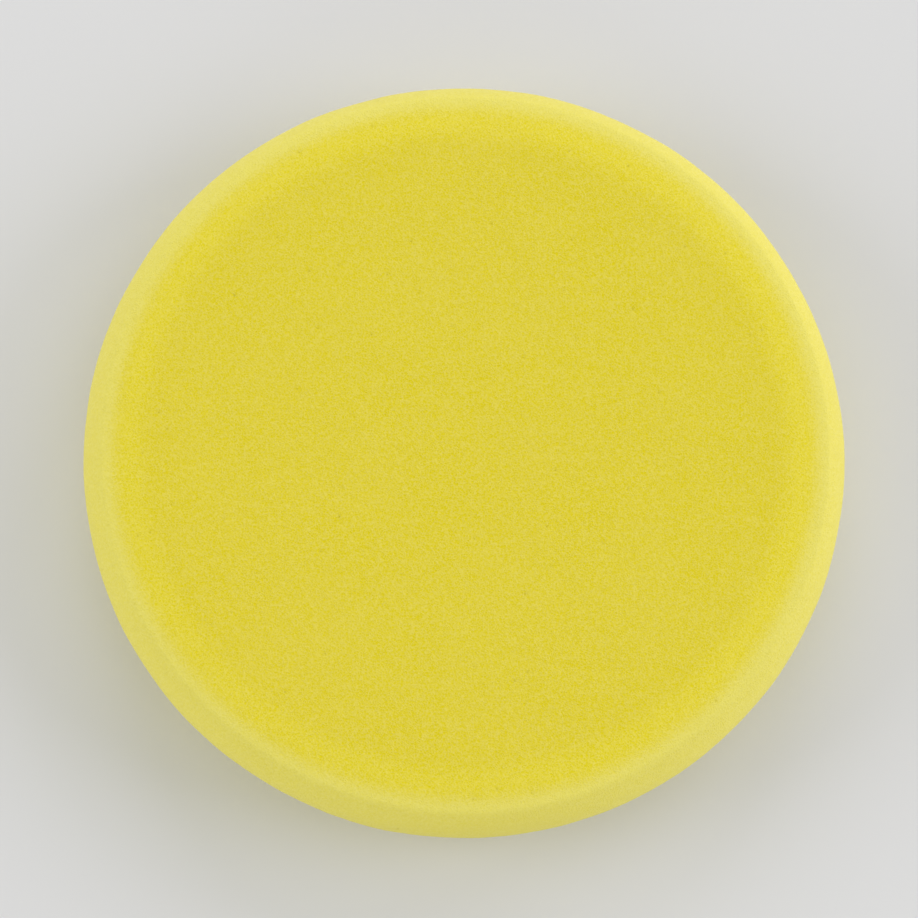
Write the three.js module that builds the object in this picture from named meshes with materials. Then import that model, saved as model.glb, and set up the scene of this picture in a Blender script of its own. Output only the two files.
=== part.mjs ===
// A foam polishing pad for a rotary or orbital polisher: one disc of soft open-cell polyurethane
// foam, bonded by a film of hot-melt adhesive to a knitted loop fabric, which grips the hooks of
// the polisher's backing plate.
//
// Millimetres, +Z up. The pad lies on its loop side with the polishing face up, and the origin is
// the centre of the loop side, level with the tips of the loops.

import * as THREE from "three";

// Driving dimensions.
const PAD_RADIUS = 75; // the foam at its widest
const PAD_HEIGHT = 25; // from the tips of the loops to the polishing face
const BACK_RADIUS = 67.5; // the loop fabric, and the foam where it meets it

// The fabric and the film, from the loops up.
const PILE_THICKNESS = 1.5;
const GROUND_THICKNESS = 0.75;
const ADHESIVE_THICKNESS = 0.25;

// The foam's section. The face is flat, falls away a little towards a crease, and the form cutter
// leaves a round edge outside that crease.
const FACE_RADIUS = 60; // the flat of the face
const CREASE_RADIUS = 71;
const CROWN_SLOPE = THREE.MathUtils.degToRad(12); // the fall of the face where it meets the crease
const EDGE_RADIUS = 12; // the round edge, from the crease to the widest point

// Smoothness of the lathed solids.
const TURN_STEPS = 96; // round the axis
const ARC_STEPS = 9; // along each arc of the foam's section

// Heights and radii that follow from those.
const GROUND_BOTTOM = PILE_THICKNESS;
const ADHESIVE_BOTTOM = GROUND_BOTTOM + GROUND_THICKNESS;
const FOAM_BOTTOM = ADHESIVE_BOTTOM + ADHESIVE_THICKNESS;
const CROWN_RADIUS = (CREASE_RADIUS - FACE_RADIUS) / Math.sin(CROWN_SLOPE);
const CREASE_HEIGHT = PAD_HEIGHT - CROWN_RADIUS * (1 - Math.cos(CROWN_SLOPE));
const EDGE_CENTRE = PAD_RADIUS - EDGE_RADIUS;
const CREASE_ANGLE = Math.acos((CREASE_RADIUS - EDGE_CENTRE) / EDGE_RADIUS);
const WIDEST_HEIGHT = CREASE_HEIGHT - EDGE_RADIUS * Math.sin(CREASE_ANGLE);

const MATERIALS = {
  foam: new THREE.MeshStandardMaterial({ color: "#e0d044", roughness: 0.95, metalness: 0 }),
  adhesive: new THREE.MeshStandardMaterial({ color: "#d8d2bc", roughness: 0.5, metalness: 0 }),
  groundFabric: new THREE.MeshStandardMaterial({ color: "#d9d9d4", roughness: 0.9, metalness: 0 }),
  loopPile: new THREE.MeshStandardMaterial({ color: "#ecece8", roughness: 0.85, metalness: 0 }),
};

// A solid of revolution about +Z from a section that starts and ends on the axis.
function turned(name, section, material) {
  const geometry = new THREE.LatheGeometry(section, TURN_STEPS);
  geometry.rotateX(Math.PI / 2);
  const mesh = new THREE.Mesh(geometry, material);
  mesh.name = name;
  return mesh;
}

// A plain disc with its underside at z = 0, placed at its height in the stack.
function layer(name, thickness, bottom, material) {
  const section = [
    new THREE.Vector2(0, 0),
    new THREE.Vector2(BACK_RADIUS, 0),
    new THREE.Vector2(BACK_RADIUS, thickness),
    new THREE.Vector2(0, thickness),
  ];
  const mesh = turned(name, section, material);
  mesh.position.z = bottom;
  return mesh;
}

// The points of an arc in a section. Its end is left out, because the next stretch starts there.
function arc(centreRadius, centreHeight, radius, from, to) {
  return Array.from({ length: ARC_STEPS }, (_, step) => {
    const angle = from + ((to - from) * step) / ARC_STEPS;
    return new THREE.Vector2(
      centreRadius + radius * Math.cos(angle),
      centreHeight + radius * Math.sin(angle),
    );
  });
}

// The foam's section, from the middle of its back, round the edge, to the middle of its face.
function foamSection() {
  const undercut = PAD_RADIUS - BACK_RADIUS;
  const fall = WIDEST_HEIGHT - FOAM_BOTTOM;
  const undercutRadius = (undercut ** 2 + fall ** 2) / (2 * undercut);
  const undercutCentre = PAD_RADIUS - undercutRadius;
  const upright = Math.PI / 2;
  return [
    new THREE.Vector2(0, FOAM_BOTTOM),
    ...arc(undercutCentre, WIDEST_HEIGHT, undercutRadius, -Math.asin(fall / undercutRadius), 0),
    ...arc(EDGE_CENTRE, WIDEST_HEIGHT, EDGE_RADIUS, 0, CREASE_ANGLE),
    ...arc(FACE_RADIUS, PAD_HEIGHT - CROWN_RADIUS, CROWN_RADIUS, upright - CROWN_SLOPE, upright),
    new THREE.Vector2(FACE_RADIUS, PAD_HEIGHT),
    new THREE.Vector2(0, PAD_HEIGHT),
  ];
}

const pad = new THREE.Group();
pad.add(
  turned("foam_disc", foamSection(), MATERIALS.foam),
  layer("adhesive_film", ADHESIVE_THICKNESS, ADHESIVE_BOTTOM, MATERIALS.adhesive),
  layer("ground_fabric", GROUND_THICKNESS, GROUND_BOTTOM, MATERIALS.groundFabric),
  layer("loop_pile", PILE_THICKNESS, 0, MATERIALS.loopPile),
);

export default pad;
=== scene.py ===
# A foam polishing pad that lies on its loop side on a pale floor, under a soft studio light.
#
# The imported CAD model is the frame: it says where each layer of the pad is and how large. Each
# layer is built again here with the surface that the real one has: cut open-cell foam, a film of
# hot-melt glue, a warp-knitted ground fabric, and the nylon loops that stand on it. Everything is
# in metres, with +Z up and the origin at the centre of the loop side.

import math

import bpy
import numpy as np
from mathutils import Matrix, Vector, noise


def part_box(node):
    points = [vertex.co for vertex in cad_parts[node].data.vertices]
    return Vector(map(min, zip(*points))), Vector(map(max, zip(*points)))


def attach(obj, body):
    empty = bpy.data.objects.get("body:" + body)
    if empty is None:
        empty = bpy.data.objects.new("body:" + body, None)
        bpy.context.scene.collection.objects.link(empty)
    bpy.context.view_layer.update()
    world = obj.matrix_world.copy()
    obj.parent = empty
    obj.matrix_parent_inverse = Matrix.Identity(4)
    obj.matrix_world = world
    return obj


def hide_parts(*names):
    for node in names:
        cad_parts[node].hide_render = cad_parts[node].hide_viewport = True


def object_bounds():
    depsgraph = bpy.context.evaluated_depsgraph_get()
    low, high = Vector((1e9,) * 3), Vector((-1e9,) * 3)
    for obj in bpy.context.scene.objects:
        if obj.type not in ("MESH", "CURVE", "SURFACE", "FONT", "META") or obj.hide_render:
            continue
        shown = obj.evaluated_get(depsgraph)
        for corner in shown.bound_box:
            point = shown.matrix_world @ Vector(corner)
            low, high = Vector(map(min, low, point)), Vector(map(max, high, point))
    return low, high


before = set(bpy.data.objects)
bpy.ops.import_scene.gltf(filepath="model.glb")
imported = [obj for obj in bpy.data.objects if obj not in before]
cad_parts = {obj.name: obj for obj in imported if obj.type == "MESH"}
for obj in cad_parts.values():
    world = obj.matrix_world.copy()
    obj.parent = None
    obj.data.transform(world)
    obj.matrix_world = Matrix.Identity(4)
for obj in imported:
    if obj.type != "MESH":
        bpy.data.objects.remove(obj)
cad_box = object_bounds()

MM = 0.001
TURN = 2 * math.pi
BODY = "root"

foam_low, foam_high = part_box("foam_disc")
film_low, film_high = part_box("adhesive_film")
ground_low, ground_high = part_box("ground_fabric")
pile_low, pile_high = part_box("loop_pile")

# The foam's section, as in the CAD model: a flat face, a gentle crown out to a crease, a round
# edge from the crease to the widest point, and an undercut back to the loop fabric.
PAD_RADIUS = foam_high.x
BACK_RADIUS = ground_high.x
FACE_RADIUS = 60 * MM
CREASE_RADIUS = 71 * MM
CROWN_SLOPE = math.radians(12)  # where the crown meets the crease
CROWN_RADIUS = (CREASE_RADIUS - FACE_RADIUS) / math.sin(CROWN_SLOPE)
CREASE_HEIGHT = foam_high.z - CROWN_RADIUS * (1 - math.cos(CROWN_SLOPE))
EDGE_RADIUS = 12 * MM


# ---------------------------------------------------------------- camera

CAMERA_AZIMUTH = math.radians(-5)
CAMERA_ELEVATION = math.radians(79.2)
CAMERA_DISTANCE = 681.5 * MM
CAMERA_LENS = 135  # in millimetres, as Blender has it
CAMERA_ASIDE = (-1.04 * MM, 0)  # the camera's step to its right and up, which places the pad
CAMERA_NEAR = 10 * MM


def add_camera():
    """Looks down on the pad from nearly straight above, with +Y up in the picture."""
    target = (Vector(cad_box[0]) + Vector(cad_box[1])) / 2
    back = Vector((
        math.sin(CAMERA_AZIMUTH) * math.cos(CAMERA_ELEVATION),
        -math.cos(CAMERA_AZIMUTH) * math.cos(CAMERA_ELEVATION),
        math.sin(CAMERA_ELEVATION),
    ))
    right = Vector((0, 1, 0)).cross(back).normalized()
    up = back.cross(right)
    place = target + back * CAMERA_DISTANCE + right * CAMERA_ASIDE[0] + up * CAMERA_ASIDE[1]
    data = bpy.data.cameras.new("camera")
    data.lens = CAMERA_LENS
    data.clip_start = CAMERA_NEAR
    camera = bpy.data.objects.new("camera", data)
    camera.matrix_world = Matrix.Translation(place) @ Matrix((right, up, back)).transposed().to_4x4()
    bpy.context.scene.collection.objects.link(camera)
    bpy.context.scene.camera = camera


# ---------------------------------------------------------------- shader nodes

def new_material(name, constants):
    """A material with one Principled shader, these of whose sockets hold constants."""
    material = bpy.data.materials.new(name)
    material.use_nodes = True
    shader = material.node_tree.nodes["Principled BSDF"]
    for socket, value in constants.items():
        shader.inputs[socket].default_value = value
    return material, material.node_tree, shader


def add(tree, kind, inputs=None, **settings):
    """A shader node, each of whose inputs gets a constant or a link from another node's socket."""
    node = tree.nodes.new("ShaderNode" + kind)
    for key, value in settings.items():
        setattr(node, key, value)
    for key, value in (inputs or {}).items():
        if isinstance(value, bpy.types.NodeSocket):
            tree.links.new(value, node.inputs[key])
        else:
            node.inputs[key].default_value = value
    return node


def place_of(tree):
    """The piece's own coordinates, in metres."""
    return add(tree, "TexCoord").outputs["Object"]


def noise_at(tree, place, size, detail=0.0, roughness=0.5):
    """Soft blotches about this far apart, from 0 to 1."""
    inputs = {"Vector": place, "Scale": 1 / size, "Detail": detail, "Roughness": roughness}
    return add(tree, "TexNoise", inputs).outputs["Fac"]


def ramp(tree, value, low, high, to_low=0.0, to_high=1.0, smooth=False):
    """value from low to high, carried over to a range from to_low to to_high."""
    kind = "SMOOTHSTEP" if smooth else "LINEAR"
    inputs = {"Value": value, "From Min": low, "From Max": high}
    inputs.update({"To Min": to_low, "To Max": to_high})
    return add(tree, "MapRange", inputs, interpolation_type=kind).outputs["Result"]


def stretched(tree, blotches, to_low, to_high):
    """Noise, carried over to a range from to_low to to_high. Nearly all of it is between 0.3 and
    0.7 to start with."""
    return ramp(tree, blotches, 0.3, 0.7, to_low, to_high)


def maths(tree, operation, first, second=0.0, clamp=False):
    """One operation on one or two values, with its result held from 0 to 1 if clamp is true."""
    inputs = {0: first, 1: second}
    return add(tree, "Math", inputs, operation=operation, use_clamp=clamp).outputs["Value"]


def blended(tree, share, first, second):
    """The colour between two, each a constant or a socket."""
    # On a Mix node set to colours, the share is input 0, the colours are inputs 6 and 7, and
    # the result is output 2.
    return add(tree, "Mix", {0: share, 6: first, 7: second}, data_type="RGBA").outputs[2]


def bumped(tree, height, depth, normal=None):
    """A normal for a relief that is this deep where height goes from 0 to 1."""
    inputs = {"Height": height, "Distance": depth}
    if normal is not None:
        inputs["Normal"] = normal
    return add(tree, "Bump", inputs).outputs["Normal"]


# ---------------------------------------------------------------- meshes

def mesh_piece(name, points, triangles, material):
    """A smooth-shaded mesh object."""
    mesh = bpy.data.meshes.new(name)
    triangles = np.asarray(triangles, np.int32)
    mesh.vertices.add(len(points))
    mesh.vertices.foreach_set("co", np.asarray(points, np.float32).ravel())
    mesh.loops.add(triangles.size)
    mesh.loops.foreach_set("vertex_index", triangles.ravel())
    mesh.polygons.add(len(triangles))
    mesh.polygons.foreach_set("loop_start", np.arange(0, triangles.size, 3, dtype=np.int32))
    mesh.polygons.foreach_set("use_smooth", np.ones(len(triangles), bool))
    mesh.update(calc_edges=True)
    mesh.materials.append(material)
    piece = bpy.data.objects.new(name, mesh)
    bpy.context.scene.collection.objects.link(piece)
    return piece


def ring_angles(radius, spacing, jitter, random):
    """Angles of points about spacing apart round a ring, which starts anywhere. A ring of no
    radius is one point."""
    if radius <= 0:
        return np.zeros(1)
    count = max(6, round(TURN * radius / spacing))
    steps = np.arange(count) + random.random() + jitter * random.uniform(-1, 1, count)
    return steps * TURN / count


def stitched(first, second, first_angles, second_angles):
    """The triangles between two rings of points, where first and second are point numbers."""
    n, m = len(first), len(second)
    if n == 1:
        return [(first[0], second[j], second[(j + 1) % m]) for j in range(m)]
    if m == 1:
        return [(first[i], second[0], first[(i + 1) % n]) for i in range(n)]
    apart = (second_angles - first_angles[0] + math.pi) % TURN - math.pi
    start = int(np.argmin(np.abs(apart)))
    second = np.roll(second, -start)
    a = np.append(first_angles - first_angles[0], TURN)
    b = np.append((np.roll(second_angles, -start) - second_angles[start]) % TURN, TURN)
    b += apart[start]
    triangles = []
    i = j = 0
    while i < n or j < m:
        if j < m and (i >= n or b[j + 1] <= a[i + 1]):
            triangles.append((first[i % n], second[j], second[(j + 1) % m]))
            j += 1
        else:
            triangles.append((first[i], second[j % m], first[(i + 1) % n]))
            i += 1
    return triangles


def skin(rings):
    """Each point's angle and the number of its ring, and the triangles between each ring and the
    next. Rings are arrays of angles, from a single point on the axis to another or to the last
    ring of an open skin."""
    angles, numbers, triangles = [], [], []
    total = 0
    previous = None
    for number, ring in enumerate(rings):
        indices = np.arange(len(ring)) + total
        total += len(ring)
        angles.append(ring)
        numbers.append(np.full(len(ring), number))
        if previous is not None:
            triangles += stitched(previous[0], indices, previous[1], ring)
        previous = (indices, ring)
    return np.concatenate(angles), np.concatenate(numbers), triangles


# ---------------------------------------------------------------- foam, its material

FOAM_CELL = 0.55 * MM
STRUT_CORE = 0.02  # how far from the cells' walls a strut is whole, as a share of a cell
STRUT_REACH = 0.28  # and how far it fades out
STRUT_SHARE = 0.35
FOAM_MOTTLE = 0.45 * MM  # from one light blotch to the next
FOAM_CLOUD = 20 * MM  # from one wide faint patch to the next
STRUT_RELIEF = 0.04 * MM
MOTTLE_RELIEF = 0.035 * MM
CLOUD_SHARE = 0.12
PORE_SHADE_SHARE = 0.6

# Where the colour changes. The edge band carries a painted sheen: it is pale from under the crease
# down, and turns pale over the last of the crown. The crown carries painted light: it brightens
# outwards from the flat face.
PALE_STARTS_BELOW = 0.8 * MM
PALE_FULL_BELOW = 1.6 * MM
PALE_STARTS_INSIDE = 4.8 * MM
CROWN_BRIGHTENS_OVER = 6 * MM

# A painted highlight lies in patches in a ring round the crease, on the upper half of the foam.
HIGHLIGHT_PATCH = 2.0 * MM
HIGHLIGHT_INSIDE = 2.6 * MM
HIGHLIGHT_OUTSIDE = 0.9 * MM
HIGHLIGHT_STARTS_UP = 10 * MM
HIGHLIGHT_FULL_UP = 15 * MM
CREASE_LINE = 0.3 * MM  # both changes are complete this far inside the crease


def foam_material():
    """Cut open-cell foam: pale struts round deeper yellow cells, with painted sheen on the edge band,
    painted light on the crown, a painted highlight along the crease and painted shade in the open
    pores."""
    material, tree, shader = new_material("foam", {
        "Roughness": 0.7,
        "IOR": 1.5,
        "Specular IOR Level": 0.1,
        "Sheen Weight": 0.1,
        "Sheen Roughness": 0.45,
    })
    deep = (0.717, 0.595, 0.001, 1.0)
    pale = (0.766, 0.657, 0.100, 1.0)
    # Painted light: the crown is brighter than the face.
    lit_crown_deep = (0.757, 0.636, 0.002, 1.0)
    lit_crown_pale = (0.817, 0.710, 0.105, 1.0)
    # Painted sheen: the edge band is paler than the face.
    sheen_edge_deep = (0.776, 0.686, 0.094, 1.0)
    sheen_edge_pale = (0.818, 0.738, 0.180, 1.0)
    # A painted highlight for the crease.
    crease_highlight = (0.83, 0.75, 0.15, 1.0)
    # Painted shade for the open pores.
    pore_shade = (0.52, 0.42, 0.010, 1.0)

    # Where on the pad this is.
    place = place_of(tree)
    height = add(tree, "SeparateXYZ", {"Vector": place}).outputs["Z"]
    flat = add(tree, "VectorMath", {0: place, 1: (1, 1, 0)}, operation="MULTIPLY")
    radius = add(tree, "VectorMath", {0: flat.outputs["Vector"]}, operation="LENGTH")
    radius = radius.outputs["Value"]
    inner_line = CREASE_RADIUS - CREASE_LINE
    # The mask of the painted sheen on the edge band.
    below = ramp(tree, height, CREASE_HEIGHT - PALE_STARTS_BELOW, CREASE_HEIGHT - PALE_FULL_BELOW)
    outer = ramp(tree, radius, CREASE_RADIUS - PALE_STARTS_INSIDE, inner_line, smooth=True)
    edge = maths(tree, "MAXIMUM", below, outer)
    # The mask of the painted light on the crown, brightening outwards from the flat face.
    slope = ramp(tree, radius, FACE_RADIUS, FACE_RADIUS + CROWN_BRIGHTENS_OVER, smooth=True)

    # The cells, from struts to hollows, on each part of the pad's pair of colours, where the crown's
    # pair holds painted light and the edge band's pair holds painted sheen.
    cells = add(tree, "TexVoronoi", {"Vector": place, "Scale": 1 / FOAM_CELL},
                feature="DISTANCE_TO_EDGE").outputs["Distance"]
    strut = ramp(tree, cells, STRUT_REACH, STRUT_CORE, smooth=True)
    mottle = noise_at(tree, place, FOAM_MOTTLE, detail=1.0, roughness=0.6)
    strut_share = maths(tree, "MULTIPLY", strut, STRUT_SHARE)
    mottle_share = stretched(tree, mottle, -0.15, 0.6)
    light_share = maths(tree, "ADD", strut_share, mottle_share, clamp=True)
    darker = blended(tree, edge, blended(tree, slope, deep, lit_crown_deep), sheen_edge_deep)
    lighter = blended(tree, edge, blended(tree, slope, pale, lit_crown_pale), sheen_edge_pale)
    colour = blended(tree, light_share, darker, lighter)
    cloud = noise_at(tree, place, FOAM_CLOUD, detail=2.0)
    colour = blended(tree, stretched(tree, cloud, 0.0, CLOUD_SHARE), colour, pale)

    # The painted highlight along the crease.
    inside = ramp(tree, radius, CREASE_RADIUS - HIGHLIGHT_INSIDE, inner_line, smooth=True)
    outside = ramp(tree, radius, CREASE_RADIUS, CREASE_RADIUS + HIGHLIGHT_OUTSIDE, 1.0, 0.0, smooth=True)
    upper = ramp(tree, height, foam_low.z + HIGHLIGHT_STARTS_UP, foam_low.z + HIGHLIGHT_FULL_UP)
    highlight_patches = noise_at(tree, place, HIGHLIGHT_PATCH, detail=3.0, roughness=0.65)
    ring = maths(tree, "MULTIPLY", maths(tree, "MULTIPLY", inside, outside), upper)
    share = maths(tree, "MULTIPLY", ring, stretched(tree, highlight_patches, 0.1, 0.6))
    colour = blended(tree, share, colour, crease_highlight)

    # The open pores, dented in the mesh and darkened with painted shade.
    pore = add(tree, "Attribute", attribute_name="pore").outputs["Fac"]
    colour = blended(tree, ramp(tree, pore, 0.35, 1.0, 0.0, PORE_SHADE_SHARE, smooth=True), colour, pore_shade)
    tree.links.new(colour, shader.inputs["Base Color"])

    normal = bumped(tree, strut, STRUT_RELIEF)
    normal = bumped(tree, mottle, MOTTLE_RELIEF, normal)
    tree.links.new(normal, shader.inputs["Normal"])
    return material


# ---------------------------------------------------------------- foam, its shape

FOAM_SPACING = 0.6 * MM  # between the points of the cut surface
SECTION_STEP = 0.05 * MM
CREASE_SOFTNESS = 1.0 * MM  # the foam's corners are rounded over about this width
GRAIN = 0.010 * MM  # how far the cut cells stand in and out
WAVE = 0.12 * MM
WAVE_LENGTH = 14 * MM
OPEN_PORES = 0.002  # the share of the points where a large cell lies open
PORE_DEPTH = 0.2 * MM
HIGHEST = 0.2 * MM  # no point stands further over the face
GLUED_RIM = 1.2 * MM  # the last stretch of the skin, left plain where it meets the glue
RING_JITTER = 0.22  # of the space between two points of a ring
SKIN_JITTER = 0.25  # of the space between two rings
BACK_RINGS = [  # radius and spacing of points on the back, which the glue hides
    (BACK_RADIUS - 1.5 * MM, 1.2 * MM),
    (BACK_RADIUS - 5 * MM, 3 * MM),
    (50 * MM, 9 * MM),
    (25 * MM, 16 * MM),
    (0, 0),
]


def arc(centre, radius, start, end):
    """Points along an arc of the section, one every SECTION_STEP."""
    steps = max(2, round(abs(end - start) * radius / SECTION_STEP))
    angles = np.linspace(start, end, steps)
    return np.stack([centre[0] + radius * np.cos(angles), centre[1] + radius * np.sin(angles)], 1)


def sharp_section():
    """The section as in the CAD model, as a line of radii and heights from the middle of the face
    to the rim of the back."""
    edge_centre = PAD_RADIUS - EDGE_RADIUS
    crease_angle = math.acos((CREASE_RADIUS - edge_centre) / EDGE_RADIUS)
    widest = CREASE_HEIGHT - EDGE_RADIUS * math.sin(crease_angle)
    inset = PAD_RADIUS - BACK_RADIUS
    drop = widest - foam_low.z
    undercut_radius = (inset**2 + drop**2) / (2 * inset)
    undercut_angle = math.asin(drop / undercut_radius)
    up = math.pi / 2
    return np.concatenate([
        [(0, foam_high.z)],
        arc((FACE_RADIUS, foam_high.z - CROWN_RADIUS), CROWN_RADIUS, up, up - CROWN_SLOPE),
        arc((edge_centre, widest), EDGE_RADIUS, crease_angle, 0),
        arc((PAD_RADIUS - undercut_radius, widest), undercut_radius, 0, -undercut_angle)[1:],
    ])


def foam_section():
    """The skin's run from the middle of the face, and its radius, height and normal there, at
    points SECTION_STEP apart, with its corners softened."""
    line = sharp_section()
    run = np.append(0, np.cumsum(np.linalg.norm(np.diff(line, axis=0), axis=1)))
    even = np.arange(0, run[-1], SECTION_STEP)
    radius, height = np.interp(even, run, line[:, 0]), np.interp(even, run, line[:, 1])
    width = round(CREASE_SOFTNESS / SECTION_STEP)
    window = np.hanning(width + 2)[1:-1]
    window /= window.sum()
    inner = slice(width, len(even) - width)
    soft_radius, soft_height = radius.copy(), height.copy()
    soft_radius[inner] = np.convolve(radius, window, "same")[inner]
    soft_height[inner] = np.convolve(height, window, "same")[inner]
    slope = np.stack([np.gradient(soft_radius), np.gradient(soft_height)], 1)
    slope /= np.linalg.norm(slope, axis=1)[:, None]
    return even, soft_radius, soft_height, -slope[:, 1], slope[:, 0]


def foam_pad():
    """The foam, one closed skin whose points stand in and out as the cut cells do."""
    random = np.random.default_rng(11)
    run, radius, height, normal_out, normal_up = foam_section()
    ring_gap = FOAM_SPACING * math.sqrt(3) / 2
    ring_runs = np.linspace(0, run[-1], round(run[-1] / ring_gap) + 1)
    ring_radii = np.interp(ring_runs, run, radius)
    rings = [ring_angles(r, FOAM_SPACING, RING_JITTER, random) for r in ring_radii]
    last = len(rings) - 1
    rings += [ring_angles(r, spacing, 0, random) for r, spacing in BACK_RINGS]
    back_radii = [r for r, _ in BACK_RINGS]

    angles, numbers, triangles = skin(rings)
    on_back = numbers > last
    between = (numbers > 0) & (numbers < last)
    s = np.append(ring_runs, np.full(len(back_radii), run[-1]))[numbers]
    s = s + between * random.uniform(-SKIN_JITTER, SKIN_JITTER, len(s)) * ring_gap
    r = np.where(on_back, np.append(ring_radii, back_radii)[numbers], np.interp(s, run, radius))
    z = np.where(on_back, foam_low.z, np.interp(s, run, height))
    out, up = np.interp(s, run, normal_out), np.interp(s, run, normal_up)
    normals = np.stack([out * np.cos(angles), out * np.sin(angles), up], 1)
    points = np.stack([r * np.cos(angles), r * np.sin(angles), z], 1)

    free = between & (s < run[-1] - GLUED_RIM)
    pore = free * (random.random(len(s)) < OPEN_PORES) * random.uniform(0.5, 1.0, len(s))
    waves = np.array([noise.fractal(Vector(p) / WAVE_LENGTH, 1.0, 2.0, 3) for p in points])
    lift = GRAIN * random.standard_normal(len(s)) + WAVE * np.clip(waves, -1, 1)
    lift -= pore * PORE_DEPTH
    points += normals * (lift * free)[:, None]
    points[:, 2] = np.minimum(points[:, 2], foam_high.z + HIGHEST)

    piece = mesh_piece("foam_pad", points, triangles, foam_material())
    pores = piece.data.attributes.new("pore", "FLOAT", "POINT")
    pores.data.foreach_set("value", pore.astype(np.float32))
    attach(piece, BODY)
    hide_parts("foam_disc")


# ---------------------------------------------------------------- adhesive film

FILM_SPACING = 0.5 * MM  # between the points of its rim
FILM_WOBBLE = 0.14 * MM  # how far the rim runs out and in
FILM_WOBBLES = 30  # noise cells across the rim's radius
FILM_MEAN_IN = 0.3  # the rim's mean place, as a share of FILM_WOBBLE inwards
FILM_ROUNDING = 0.06 * MM
GLUE_PATCH = 3 * MM
GLUE_BEAD = 0.7 * MM
BEAD_RELIEF = 0.05 * MM


def adhesive_material():
    """Hot-melt glue: cream, slightly see-through and a little glossy, with beads and dull
    patches."""
    material, tree, shader = new_material("hot_melt", {
        "IOR": 1.48,
        "Subsurface Weight": 0.2,
        "Subsurface Radius": (1.0, 0.8, 0.5),
        "Subsurface Scale": 0.5 * MM,
    })
    amber = (0.60, 0.54, 0.36, 1.0)
    cream = (0.78, 0.74, 0.60, 1.0)
    place = place_of(tree)
    patches = noise_at(tree, place, GLUE_PATCH, detail=3.0)
    tree.links.new(blended(tree, patches, amber, cream), shader.inputs["Base Color"])
    tree.links.new(stretched(tree, patches, 0.28, 0.5), shader.inputs["Roughness"])
    beads = noise_at(tree, place, GLUE_BEAD, detail=1.0)
    tree.links.new(bumped(tree, beads, BEAD_RELIEF), shader.inputs["Normal"])
    return material


def adhesive_film():
    """The glue line: a thin disc whose rim runs out and in a little, as squeezed glue does."""
    random = np.random.default_rng(12)
    low, high = film_low.z, film_high.z
    # How far each ring is inside the rim, its height, and how far apart its points are.
    section = [
        (BACK_RADIUS, high, 0),
        (40 * MM, high, 12 * MM),
        (8 * MM, high, 4 * MM),
        (1.5 * MM, high, 1.2 * MM),
        (0.25 * MM, high, FILM_SPACING),
        (0.05 * MM, high - FILM_ROUNDING, FILM_SPACING),
        (0, (low + high) / 2, FILM_SPACING),
        (0.05 * MM, low + FILM_ROUNDING, FILM_SPACING),
        (0.25 * MM, low, FILM_SPACING),
        (1.5 * MM, low, 1.2 * MM),
        (8 * MM, low, 4 * MM),
        (40 * MM, low, 12 * MM),
        (BACK_RADIUS, low, 0),
    ]
    rings = [ring_angles(BACK_RADIUS - short, spacing, 0, random) for short, _, spacing in section]
    angles, numbers, triangles = skin(rings)
    short, z, spacing = np.array(section)[numbers].T
    around = np.stack([np.cos(angles), np.sin(angles)], 1)
    wobble = [noise.fractal(Vector((x, y, 0)) * FILM_WOBBLES, 1.0, 2.0, 4) for x, y in around]
    rim = spacing == FILM_SPACING
    r = BACK_RADIUS - short + rim * FILM_WOBBLE * (np.clip(wobble, -1, 1) - FILM_MEAN_IN)
    points = np.column_stack([r[:, None] * around, z])
    piece = mesh_piece("hot_melt_film", points, triangles, adhesive_material())
    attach(piece, BODY)
    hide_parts("adhesive_film")


# ---------------------------------------------------------------- ground fabric

WALE_PITCH = 1.2 * MM
WALE_DEPTH = 0.2 * MM
WALE_FULLNESS = 0.7  # under 1, the rib is rounder than a half sine
WALE_POINTS = 4  # across each wale
LINE_STEPS = 60  # along each line of points, from rim to rim
GROUND_GRAIN = 0.02 * MM
GROUND_REACH = 0.9995  # the outermost lines of points, as a share of the radius
COURSE_PITCH = 0.8 * MM
STITCH_SLANT = 3.0  # how steeply each stitch's legs slant
STITCH_RELIEF = 0.12 * MM
FIBRE = 0.15 * MM


def ground_material():
    """Warp-knitted nylon: stitches a course apart along each wale, in an off-white yarn, with painted
    shade in the hollows between stitches.
    """
    material, tree, shader = new_material("warp_knit", {
        "Roughness": 0.8,
        "Specular IOR Level": 0.3,
        "Sheen Weight": 0.3,
        "Sheen Roughness": 0.5,
    })
    # Painted shade: the hollows between stitches are darker than the raised yarn.
    hollow_shade = (0.56, 0.56, 0.54, 1.0)
    raised = (0.82, 0.82, 0.79, 1.0)
    place = place_of(tree)
    parts = add(tree, "SeparateXYZ", {"Vector": place})
    across = maths(tree, "MULTIPLY", parts.outputs["X"], TURN / WALE_PITCH)
    along = maths(tree, "MULTIPLY", parts.outputs["Y"], TURN / COURSE_PITCH)
    # Each stitch's legs slant, so the courses make a row of Vs up each wale.
    slant = maths(tree, "ABSOLUTE", maths(tree, "SINE", maths(tree, "MULTIPLY", across, 0.5)))
    phase = maths(tree, "ADD", along, maths(tree, "MULTIPLY", slant, STITCH_SLANT))
    stitch = ramp(tree, maths(tree, "SINE", phase), -1.0, 1.0)
    fibre = noise_at(tree, place, FIBRE, detail=2.0)
    # rise sets both the stitches' relief and their painted shade.
    rise = maths(tree, "ADD", maths(tree, "MULTIPLY", stitch, 0.7), maths(tree, "MULTIPLY", fibre, 0.3))
    tree.links.new(blended(tree, rise, hollow_shade, raised), shader.inputs["Base Color"])
    tree.links.new(bumped(tree, rise, STITCH_RELIEF), shader.inputs["Normal"])
    return material


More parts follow.
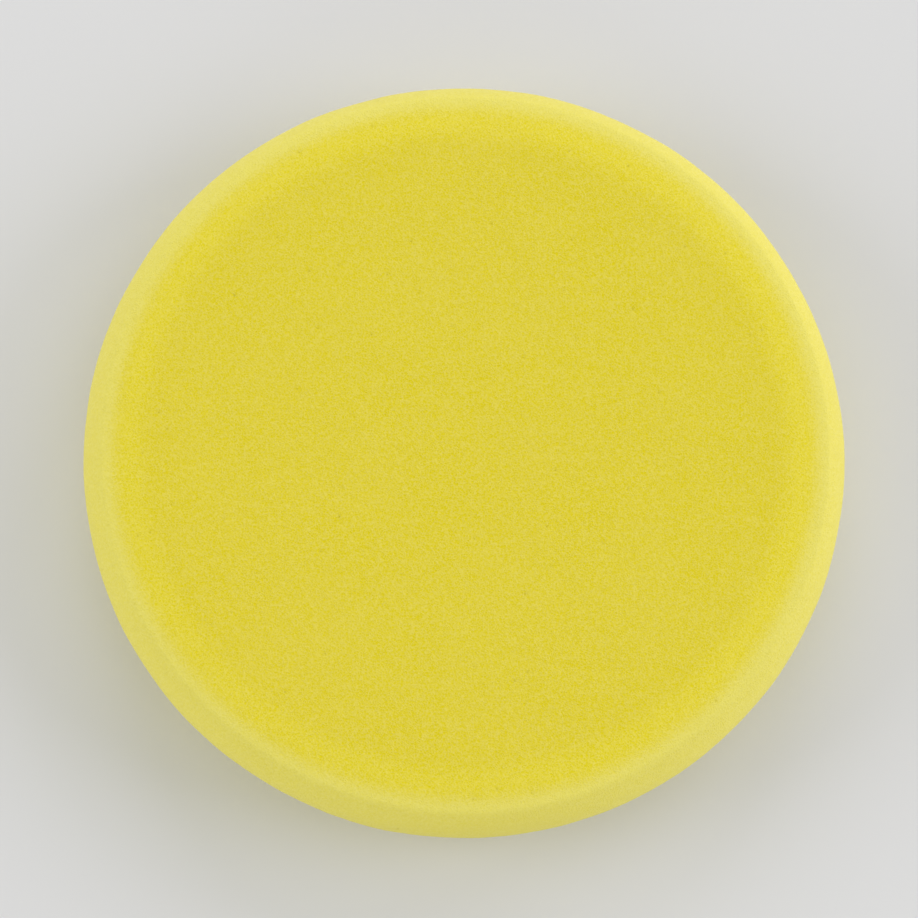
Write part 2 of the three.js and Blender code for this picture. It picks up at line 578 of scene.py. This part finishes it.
def ground_fabric():
    """The knitted ground, flat where it is glued, with its wales standing as ribs below."""
    random = np.random.default_rng(13)
    half = BACK_RADIUS * GROUND_REACH
    steps_across = round(2 * half / WALE_PITCH * WALE_POINTS)
    x = np.linspace(-half, half, steps_across + 1)
    reach = np.sqrt(BACK_RADIUS**2 - x**2)
    t = np.sin(np.linspace(-math.pi / 2, math.pi / 2, LINE_STEPS + 1))
    grid_x = np.repeat(x[:, None], LINE_STEPS + 1, 1)
    grid_y = reach[:, None] * t[None, :]
    rib = np.abs(np.sin(math.pi * grid_x / WALE_PITCH)) ** WALE_FULLNESS
    below = ground_low.z + WALE_DEPTH * (1 - rib)
    below += GROUND_GRAIN * random.standard_normal(below.shape)
    above = np.full_like(below, ground_high.z)
    points = np.concatenate([
        np.stack([grid_x, grid_y, above], -1).reshape(-1, 3),
        np.stack([grid_x, grid_y, below], -1).reshape(-1, 3),
    ])
    index = np.arange(grid_x.size).reshape(grid_x.shape)
    corners = index[:-1, :-1], index[1:, :-1], index[1:, 1:], index[:-1, 1:]
    a, b, c, d = (k.ravel() for k in corners)
    under = grid_x.size  # from a point's number to that of the point below it
    top = np.concatenate([np.stack([a, b, c], 1), np.stack([a, c, d], 1)])
    bottom = top[:, ::-1] + under
    rim = np.concatenate([index[:, 0], index[-1, 1:], index[-2::-1, -1], index[0, -2:0:-1]])
    after = np.roll(rim, -1)
    wall = np.concatenate([
        np.stack([rim, rim + under, after + under], 1),
        np.stack([rim, after + under, after], 1),
    ])
    triangles = np.concatenate([top, bottom, wall])
    piece = mesh_piece("ground_knit", points, triangles, ground_material())
    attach(piece, BODY)
    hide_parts("ground_fabric")


# ---------------------------------------------------------------- loop pile

LOOP_GAP = 0.66 * MM  # from loop to loop along a row, where one row stands on each wale
ROOT_JITTER = 0.25 * MM
ROW_INSET = 0.5 * MM  # the rows end this far inside the rim
RIM_INSET = 0.6 * MM  # and a row round the rim is this far inside it
RIM_GAP = 0.6 * MM
RIM_JITTER = 0.3  # of RIM_GAP
LOOP_STEPS = 6
LOOP_ROOT = 0.25 * MM  # how deep each loop's ends go into the ground fabric
LOOP_WIDTHS = 0.9 * MM, 1.7 * MM
LOOP_HEIGHTS = 0.72, 1.0  # as shares of the pile's
LOOP_FULLNESS = 0.75  # under 1, the arch is rounder than a half sine
HEADING_SPREAD = 0.7  # of the loops' planes, in radians
BRUSHED = 0.45 * MM  # how far the loops lean along the wales
LEAN_SPREAD = 0.3 * MM
YARN_RADIUS = 0.075 * MM
YARN_SIDES = 3
YARN_SHADE = 1.1 * MM  # from one greyer strand to the next
QUADRANTS = 4


def yarn_material():
    """Brushed nylon filament: near white, with a soft sheen and a few greyer strands."""
    material, tree, shader = new_material("nylon_loops", {
        "Roughness": 0.55,
        "Specular IOR Level": 0.4,
        "Sheen Weight": 0.4,
        "Sheen Roughness": 0.4,
    })
    grey = (0.74, 0.74, 0.71, 1.0)
    white = (0.93, 0.93, 0.90, 1.0)
    strands = noise_at(tree, place_of(tree), YARN_SHADE, detail=2.0)
    tree.links.new(blended(tree, strands, grey, white), shader.inputs["Base Color"])
    return material


def tube_faces():
    """The triangles of one closed tube of yarn, whose points are in rings of YARN_SIDES."""
    faces = []
    for step in range(LOOP_STEPS):
        for k in range(YARN_SIDES):
            a = step * YARN_SIDES + k
            b = step * YARN_SIDES + (k + 1) % YARN_SIDES
            faces += [(a, b, b + YARN_SIDES), (a, b + YARN_SIDES, a + YARN_SIDES)]
    last = LOOP_STEPS * YARN_SIDES
    return np.array(faces + [(2, 1, 0), (last, last + 1, last + 2)])


def loop_tubes(roots, across, lean, width, height):
    """Closed tubes of yarn, each an arch that hangs from the fabric at its two ends."""
    t = np.linspace(0, math.pi, LOOP_STEPS + 1)[None, :, None]
    top = pile_high.z + LOOP_ROOT
    half = across * (width / 2)[:, None]
    path = roots[:, None, :] - half[:, None, :] * np.cos(t) + lean[:, None, :] * np.sin(t) ** 2
    drop = (height + LOOP_ROOT)[:, None] * np.sin(t[..., 0]) ** LOOP_FULLNESS
    line = np.concatenate([path, (top - drop)[..., None]], 2)
    along = np.gradient(line, axis=1)
    along /= np.linalg.norm(along, axis=2, keepdims=True)
    side = np.stack([-across[:, 1], across[:, 0], np.zeros(len(roots))], 1)[:, None, :]
    rise = np.cross(along, np.broadcast_to(side, along.shape))
    rise /= np.linalg.norm(rise, axis=2, keepdims=True)
    side = np.cross(rise, along)
    turn = TURN * np.arange(YARN_SIDES) / YARN_SIDES
    ring = (rise[:, :, None, :] * np.cos(turn)[None, None, :, None]
            + side[:, :, None, :] * np.sin(turn)[None, None, :, None])
    points = line[:, :, None, :] + YARN_RADIUS * ring
    points[..., 2] = np.maximum(points[..., 2], pile_low.z)
    first_points = np.arange(len(roots)) * (LOOP_STEPS + 1) * YARN_SIDES
    triangles = tube_faces()[None] + first_points[:, None, None]
    return points.reshape(-1, 3), triangles.reshape(-1, 3)


def loop_pile():
    """Loops in rows on the wales, brushed so that they lean, in four pieces round the axis."""
    random = np.random.default_rng(14)
    rows = np.arange(-BACK_RADIUS, BACK_RADIUS, WALE_PITCH)
    places = np.arange(-BACK_RADIUS, BACK_RADIUS, LOOP_GAP)
    x, y = (g.ravel() for g in np.meshgrid(rows, places, indexing="ij"))
    x = x + random.uniform(-ROOT_JITTER, ROOT_JITTER, len(x))
    y = y + random.uniform(-ROOT_JITTER, ROOT_JITTER, len(y))
    inside = np.hypot(x, y) < BACK_RADIUS - ROW_INSET
    rim_row = BACK_RADIUS - RIM_INSET
    rim = ring_angles(rim_row, RIM_GAP, RIM_JITTER, random)
    x = np.append(x[inside], rim_row * np.cos(rim))
    y = np.append(y[inside], rim_row * np.sin(rim))
    roots = np.stack([x, y], 1)
    count = len(roots)
    heading = random.normal(0, HEADING_SPREAD, count)
    across = np.stack([np.cos(heading), np.sin(heading)], 1)
    lean_x = random.normal(0, LEAN_SPREAD, count)
    lean_y = random.normal(BRUSHED, LEAN_SPREAD, count)
    lean = np.stack([lean_x, lean_y], 1)
    width = random.uniform(*LOOP_WIDTHS, count)
    height = (pile_high.z - pile_low.z - YARN_RADIUS) * random.uniform(*LOOP_HEIGHTS, count)
    quadrant = (np.arctan2(y, x) // (TURN / QUADRANTS)).astype(int) % QUADRANTS
    material = yarn_material()
    for k in range(QUADRANTS):
        own = quadrant == k
        points, triangles = loop_tubes(roots[own], across[own], lean[own], width[own], height[own])
        piece = mesh_piece(f"loop_pile_{k + 1}", points, triangles, material)
        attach(piece, BODY)
        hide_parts("loop_pile")


# ---------------------------------------------------------------- studio, in metres

FLOOR_RADIUS = 5.0
FLOOR_PLAIN = 0.3  # a ring close round the pad
FLOOR_SIDES = 96
FLOOR_CLOUD = 0.35
FADE_START = 1.0
FADE_END = 4.5

LAMP_DISTANCE = 25
LAMP_SIZE = 0.67 * LAMP_DISTANCE
LAMP_ELEVATION = 22  # in degrees
COOL = (1.0, 1.0, 1.18)
WHITE = (1.0, 1.0, 1.0)
WARM = (1.0, 1.0, 0.8)
AIR_COLOUR = (1.0, 1.0, 0.96, 1.0)
AIR_LIGHT = 0.55
LAMPS = [  # name, azimuth from +X towards +Y in degrees, strength and colour
    ("right", 0, 3.95, COOL),
    ("right_behind", 45, 1.85, COOL),
    ("behind", 90, 2.6, COOL),
    ("left", 180, 3.5, WHITE),
    ("front", 270, 1.4, WARM),
]


def studio():
    """A wide pale floor, which fades out into the air's tone far from the pad."""
    material, tree, shader = new_material("pale_floor", {"Roughness": 1.0, "Specular IOR Level": 0.0})
    shaded = (0.70, 0.70, 0.69, 1.0)
    light = (0.73, 0.73, 0.72, 1.0)
    distant = (0.50, 0.50, 0.49, 1.0)
    place = place_of(tree)
    near = blended(tree, noise_at(tree, place, FLOOR_CLOUD, detail=2.0), shaded, light)
    away = add(tree, "VectorMath", {0: place}, operation="LENGTH").outputs["Value"]
    far = ramp(tree, away, FADE_START, FADE_END, smooth=True)
    tree.links.new(blended(tree, far, near, distant), shader.inputs["Base Color"])
    radii = [0, FLOOR_PLAIN, FADE_START, FADE_END, FLOOR_RADIUS]
    whole_ring = np.arange(FLOOR_SIDES) / FLOOR_SIDES * TURN
    angles, numbers, triangles = skin([whole_ring if r > 0 else np.zeros(1) for r in radii])
    r = np.array(radii)[numbers]
    points = np.stack([r * np.cos(angles), r * np.sin(angles), 0 * r], 1)
    mesh_piece("floor", points, triangles, material)


def soft_lamp(name, azimuth, strength, colour):
    """A round soft light that faces the pad, of this many watts for each square metre of its
    distance squared."""
    data = bpy.data.lights.new(name, "AREA")
    data.shape = "DISK"
    data.size = LAMP_SIZE
    data.energy = strength * LAMP_DISTANCE**2
    data.color = colour
    lamp = bpy.data.objects.new(name, data)
    a, e = math.radians(azimuth), math.radians(LAMP_ELEVATION)
    away = Vector((math.cos(a) * math.cos(e), math.sin(a) * math.cos(e), math.sin(e)))
    facing = away.to_track_quat("Z", "Y").to_matrix().to_4x4()
    lamp.matrix_world = Matrix.Translation(away * LAMP_DISTANCE) @ facing
    lamp.visible_camera = False
    bpy.context.scene.collection.objects.link(lamp)


def lighting():
    """Even light from the air all round, and a ring of low soft lamps, the weakest in front."""
    for lamp in LAMPS:
        soft_lamp(*lamp)
    world = bpy.data.worlds.new("studio_air")
    world.use_nodes = True
    air = world.node_tree.nodes["Background"]
    air.inputs["Color"].default_value = AIR_COLOUR
    air.inputs["Strength"].default_value = AIR_LIGHT
    bpy.context.scene.world = world
    bpy.context.scene.view_settings.view_transform = "Standard"


add_camera()
foam_pad()
adhesive_film()
ground_fabric()
loop_pile()
studio()
lighting()
